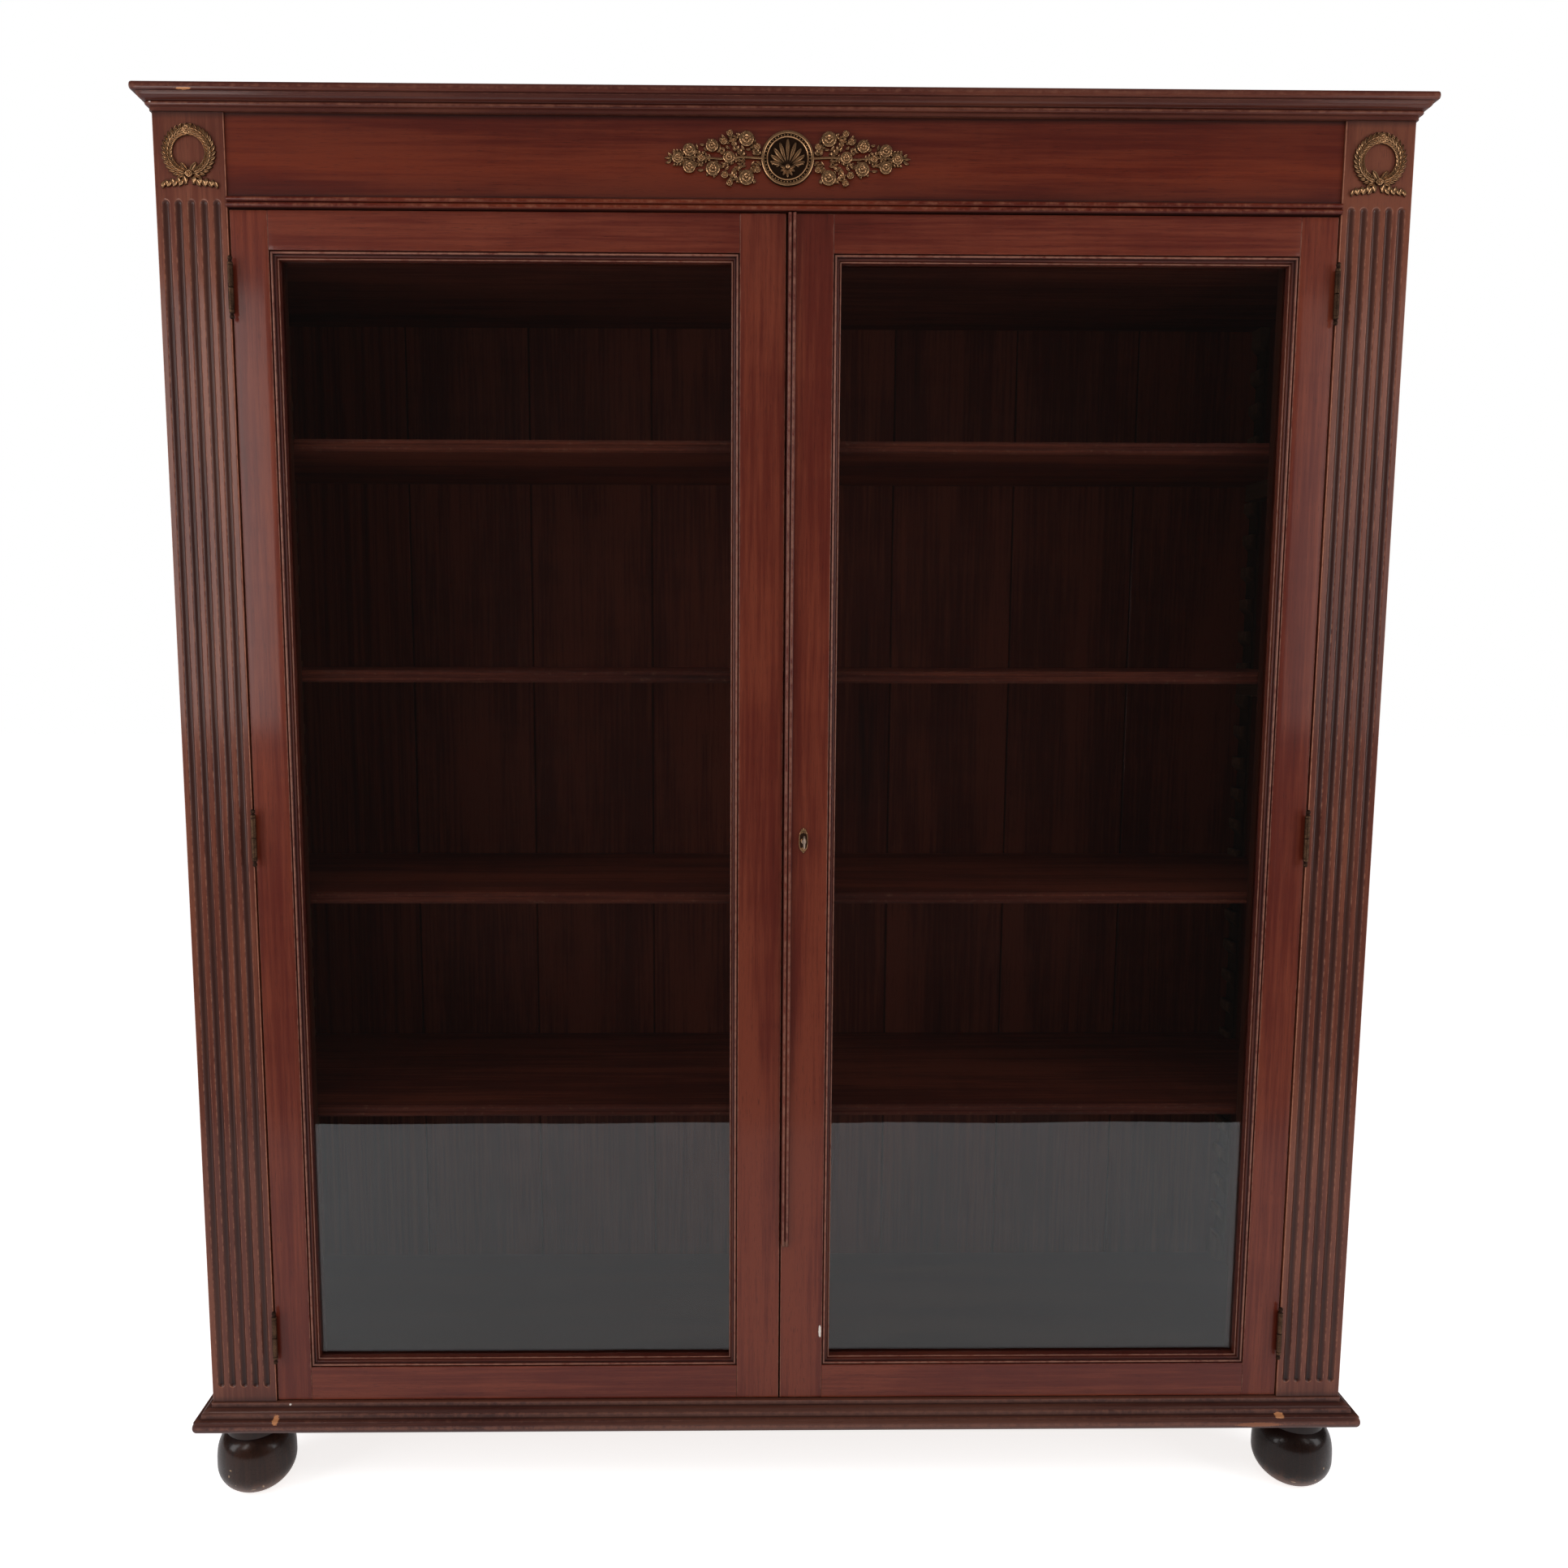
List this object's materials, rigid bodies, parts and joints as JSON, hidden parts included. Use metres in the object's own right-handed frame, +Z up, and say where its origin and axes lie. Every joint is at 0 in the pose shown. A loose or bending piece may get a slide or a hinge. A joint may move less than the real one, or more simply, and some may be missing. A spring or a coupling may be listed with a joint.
{
  "type": "bookcase",
  "caption": "Tall glazed bookcase with moulded crown and base, fluted posts, ball feet, gilt mounts, hinged locking doors and shelves that move on notched racks.",
  "frame": {"origin": "on the floor, under the middle of the bounding box", "axes": "+Z up, -Y towards the doors, +X to the right seen from the front"},
  "size_m": [1.542, 0.391, 1.787],
  "materials": {
    "mahogany": "french polished, worn at the edges",
    "inner_wood": "thinly stained, dull",
    "dark_wood": "dark polish, glossy",
    "gilt_bronze": "cast, worn gilding with dark recesses",
    "old_brass": "turned, tarnished",
    "steel": "dull grey",
    "glass": "clear"
  },
  "bodies": {
    "case": {"back_panel": "inner_wood", "base_board": "mahogany", "ceiling_board": "inner_wood", "crown": "mahogany", "foot_back_left": "dark_wood", "foot_back_right": "dark_wood", "foot_front_left": "dark_wood", "foot_front_right": "dark_wood", "frieze": "mahogany", "frieze_mount": "gilt_bronze", "hinge_left_bottom_case": "old_brass", "hinge_left_middle_case": "old_brass", "hinge_left_top_case": "old_brass", "hinge_right_bottom_case": "old_brass", "hinge_right_middle_case": "old_brass", "hinge_right_top_case": "old_brass", "post_left": "mahogany", "post_right": "mahogany", "rack_back_left": "inner_wood", "rack_back_right": "inner_wood", "rack_front_left": "inner_wood", "rack_front_right": "inner_wood", "side_left": "mahogany", "side_right": "mahogany", "wreath_left": "gilt_bronze", "wreath_right": "gilt_bronze"},
    "left_door": {"hinge_left_bottom_door": "old_brass", "hinge_left_middle_door": "old_brass", "hinge_left_top_door": "old_brass", "left_door_bottom_rail": "mahogany", "left_door_glass": "glass", "left_door_meeting_stile": "mahogany", "left_door_outer_stile": "mahogany", "left_door_top_rail": "mahogany"},
    "right_door": {"hinge_right_bottom_door": "old_brass", "hinge_right_middle_door": "old_brass", "hinge_right_top_door": "old_brass", "right_door_bottom_rail": "mahogany", "right_door_glass": "glass", "right_door_meeting_stile": "mahogany", "right_door_outer_stile": "mahogany", "right_door_top_rail": "mahogany", "astragal": "mahogany", "escutcheon": "gilt_bronze"},
    "key": {"key": "steel"},
    "lock_bolt": {"lock_bolt": "steel"},
    "top_bolt": {"top_bolt": "old_brass"},
    "bottom_bolt": {"bottom_bolt": "old_brass"},
    "shelf_1": {"shelf_1": "mahogany"},
    "cleat_1_left": {"cleat_1_left": "inner_wood"},
    "cleat_1_right": {"cleat_1_right": "inner_wood"},
    "shelf_2": {"shelf_2": "mahogany"},
    "cleat_2_left": {"cleat_2_left": "inner_wood"},
    "cleat_2_right": {"cleat_2_right": "inner_wood"},
    "shelf_3": {"shelf_3": "mahogany"},
    "cleat_3_left": {"cleat_3_left": "inner_wood"},
    "cleat_3_right": {"cleat_3_right": "inner_wood"},
    "shelf_4": {"shelf_4": "mahogany"},
    "cleat_4_left": {"cleat_4_left": "inner_wood"},
    "cleat_4_right": {"cleat_4_right": "inner_wood"}
  },
  "joints": [
    {"name": "left_door_hinge", "type": "hinge", "parent": "case", "child": "left_door", "pos_m": [-0.6635, -0.179, 0.141], "axis": [0, 0, -1], "range_deg": [0, 165]},
    {"name": "right_door_hinge", "type": "hinge", "parent": "case", "child": "right_door", "pos_m": [0.6635, -0.179, 0.141], "axis": [0, 0, 1], "range_deg": [0, 165]},
    {"name": "key_turn", "type": "hinge", "parent": "right_door", "child": "key", "pos_m": [0.026, -0.1725, 0.892], "axis": [0, 1, 0], "range_deg": [0, 180]},
    {"name": "lock_bolt_slide", "type": "slide", "parent": "right_door", "child": "lock_bolt", "axis": [-1, 0, 0], "range_m": [0, 0.008]},
    {"name": "top_bolt_slide", "type": "slide", "parent": "left_door", "child": "top_bolt", "axis": [0, 0, 1], "range_m": [0, 0.01]},
    {"name": "bottom_bolt_slide", "type": "slide", "parent": "left_door", "child": "bottom_bolt", "axis": [0, 0, -1], "range_m": [0, 0.01]},
    {"name": "shelf_1_lift", "type": "slide", "parent": "case", "child": "shelf_1", "axis": [0, 0, 1], "range_m": [0, 0.048]},
    {"name": "cleat_1_left_slide", "type": "slide", "parent": "case", "child": "cleat_1_left", "axis": [1, 0, 0], "range_m": [0, 0.016]},
    {"name": "cleat_1_right_slide", "type": "slide", "parent": "case", "child": "cleat_1_right", "axis": [-1, 0, 0], "range_m": [0, 0.016]},
    {"name": "shelf_2_lift", "type": "slide", "parent": "case", "child": "shelf_2", "axis": [0, 0, 1], "range_m": [0, 0.048]},
    {"name": "cleat_2_left_slide", "type": "slide", "parent": "case", "child": "cleat_2_left", "axis": [1, 0, 0], "range_m": [0, 0.016]},
    {"name": "cleat_2_right_slide", "type": "slide", "parent": "case", "child": "cleat_2_right", "axis": [-1, 0, 0], "range_m": [0, 0.016]},
    {"name": "shelf_3_lift", "type": "slide", "parent": "case", "child": "shelf_3", "axis": [0, 0, 1], "range_m": [0, 0.048]},
    {"name": "cleat_3_left_slide", "type": "slide", "parent": "case", "child": "cleat_3_left", "axis": [1, 0, 0], "range_m": [0, 0.016]},
    {"name": "cleat_3_right_slide", "type": "slide", "parent": "case", "child": "cleat_3_right", "axis": [-1, 0, 0], "range_m": [0, 0.016]},
    {"name": "shelf_4_lift", "type": "slide", "parent": "case", "child": "shelf_4", "axis": [0, 0, 1], "range_m": [0, 0.048]},
    {"name": "cleat_4_left_slide", "type": "slide", "parent": "case", "child": "cleat_4_left", "axis": [1, 0, 0], "range_m": [0, 0.016]},
    {"name": "cleat_4_right_slide", "type": "slide", "parent": "case", "child": "cleat_4_right", "axis": [-1, 0, 0], "range_m": [0, 0.016]}
  ],
  "couplings": [
    {"joint": "key_turn", "follows": "lock_bolt_slide", "rad_per_m": 392.69}
  ]
}
